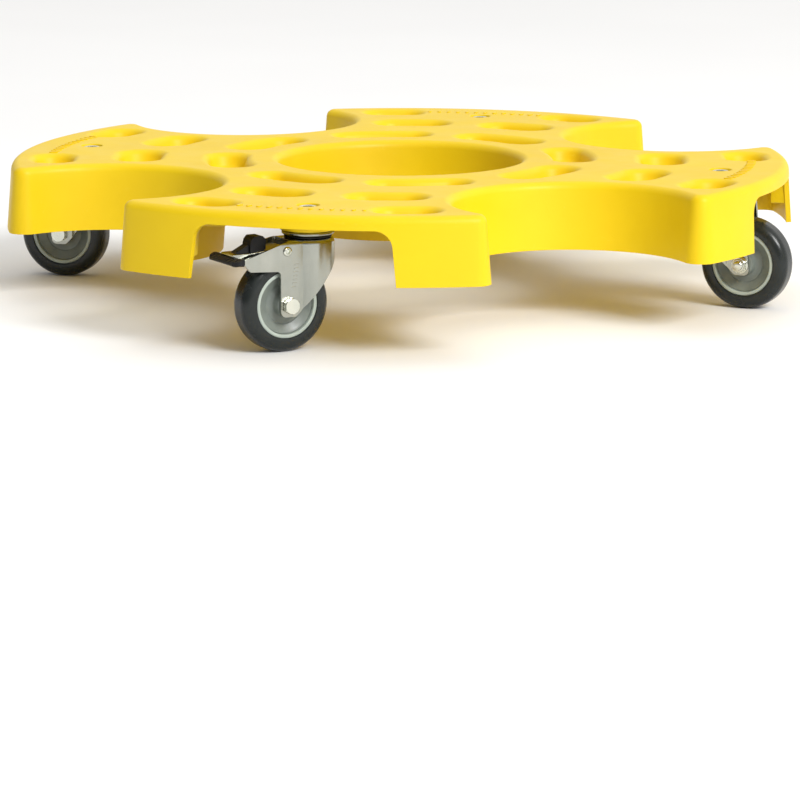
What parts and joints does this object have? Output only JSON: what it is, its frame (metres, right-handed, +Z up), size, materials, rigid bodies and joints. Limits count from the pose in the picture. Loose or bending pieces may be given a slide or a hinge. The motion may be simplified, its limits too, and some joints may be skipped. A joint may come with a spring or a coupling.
{
  "type": "drum dolly",
  "caption": "Low moulded four-armed dolly with a round centre hole, pocketed flat deck, round side notches, swivel casters under each arm and foot brakes on two.",
  "frame": {"origin": "on the floor, under the middle of the deck", "axes": "+Z up; -Y towards the front arm, +X towards the right arm"},
  "size_m": [0.712, 0.731, 0.12],
  "materials": {
    "deck_plastic": "moulded polyethylene, satin, bright yellow",
    "zinc_steel": "pressed steel, bright zinc plated, warm sheen",
    "bearing_steel": "turned steel, smooth",
    "black_plastic": "moulded nylon, matt black",
    "tyre_rubber": "smooth polyurethane-like rubber, dark slate grey, satin",
    "grey_plastic": "moulded polypropylene, mid grey, satin"
  },
  "bodies": {
    "deck": {"deck": "deck_plastic", "front_mounting_bolt": "zinc_steel", "front_lock_nut": "zinc_steel", "front_swivel_head": "zinc_steel", "front_kingpin": "zinc_steel", "right_mounting_bolt": "zinc_steel", "right_lock_nut": "zinc_steel", "right_swivel_head": "zinc_steel", "right_kingpin": "zinc_steel", "rear_mounting_bolt": "zinc_steel", "rear_lock_nut": "zinc_steel", "rear_swivel_head": "zinc_steel", "rear_kingpin": "zinc_steel", "left_mounting_bolt": "zinc_steel", "left_lock_nut": "zinc_steel", "left_swivel_head": "zinc_steel", "left_kingpin": "zinc_steel"},
    "front_swivel": {"front_fork": "zinc_steel", "front_ball_ring": "bearing_steel", "front_dust_seal": "black_plastic", "front_axle_bolt": "zinc_steel", "front_axle_nut": "zinc_steel", "front_brake_pin": "zinc_steel"},
    "front_wheel": {"front_tyre": "tyre_rubber", "front_wheel_core": "grey_plastic", "front_bearing_sleeve": "bearing_steel"},
    "front_brake": {"front_brake_lever": "zinc_steel", "front_brake_pedal": "black_plastic"},
    "right_swivel": {"right_fork": "zinc_steel", "right_ball_ring": "bearing_steel", "right_dust_seal": "black_plastic", "right_axle_bolt": "zinc_steel", "right_axle_nut": "zinc_steel"},
    "right_wheel": {"right_tyre": "tyre_rubber", "right_wheel_core": "grey_plastic", "right_bearing_sleeve": "bearing_steel"},
    "rear_swivel": {"rear_fork": "zinc_steel", "rear_ball_ring": "bearing_steel", "rear_dust_seal": "black_plastic", "rear_axle_bolt": "zinc_steel", "rear_axle_nut": "zinc_steel", "rear_brake_pin": "zinc_steel"},
    "rear_wheel": {"rear_tyre": "tyre_rubber", "rear_wheel_core": "grey_plastic", "rear_bearing_sleeve": "bearing_steel"},
    "rear_brake": {"rear_brake_lever": "zinc_steel", "rear_brake_pedal": "black_plastic"},
    "left_swivel": {"left_fork": "zinc_steel", "left_ball_ring": "bearing_steel", "left_dust_seal": "black_plastic", "left_axle_bolt": "zinc_steel", "left_axle_nut": "zinc_steel"},
    "left_wheel": {"left_tyre": "tyre_rubber", "left_wheel_core": "grey_plastic", "left_bearing_sleeve": "bearing_steel"}
  },
  "joints": [
    {"name": "front_swivel_turn", "type": "hinge", "parent": "deck", "child": "front_swivel", "pos_m": [0, -0.29, 0.094], "axis": [0, 0, 1], "continuous": true},
    {"name": "front_wheel_spin", "type": "hinge", "parent": "front_swivel", "child": "front_wheel", "pos_m": [-0.01838, -0.30839, 0.04], "axis": [0.7071, -0.7071, 0], "continuous": true},
    {"name": "front_brake_press", "type": "hinge", "parent": "front_swivel", "child": "front_brake", "pos_m": [-0.02008, -0.31008, 0.0855], "axis": [0.7071, -0.7071, 0], "range_deg": [0, 6]},
    {"name": "right_swivel_turn", "type": "hinge", "parent": "deck", "child": "right_swivel", "pos_m": [0.29, 0, 0.094], "axis": [0, 0, 1], "continuous": true},
    {"name": "right_wheel_spin", "type": "hinge", "parent": "right_swivel", "child": "right_wheel", "pos_m": [0.31561, -0.00451, 0.04], "axis": [0.1736, 0.9848, 0], "continuous": true},
    {"name": "rear_swivel_turn", "type": "hinge", "parent": "deck", "child": "rear_swivel", "pos_m": [0, 0.29, 0.094], "axis": [0, 0, 1], "continuous": true},
    {"name": "rear_wheel_spin", "type": "hinge", "parent": "rear_swivel", "child": "rear_wheel", "pos_m": [0.01838, 0.30839, 0.04], "axis": [-0.7071, 0.7071, 0], "continuous": true},
    {"name": "rear_brake_press", "type": "hinge", "parent": "rear_swivel", "child": "rear_brake", "pos_m": [0.02008, 0.31008, 0.0855], "axis": [-0.7071, 0.7071, 0], "range_deg": [0, 6]},
    {"name": "left_swivel_turn", "type": "hinge", "parent": "deck", "child": "left_swivel", "pos_m": [-0.29, 0, 0.094], "axis": [0, 0, 1], "continuous": true},
    {"name": "left_wheel_spin", "type": "hinge", "parent": "left_swivel", "child": "left_wheel", "pos_m": [-0.316, 0.00045, 0.04], "axis": [-0.0175, -0.9998, 0], "continuous": true}
  ]
}
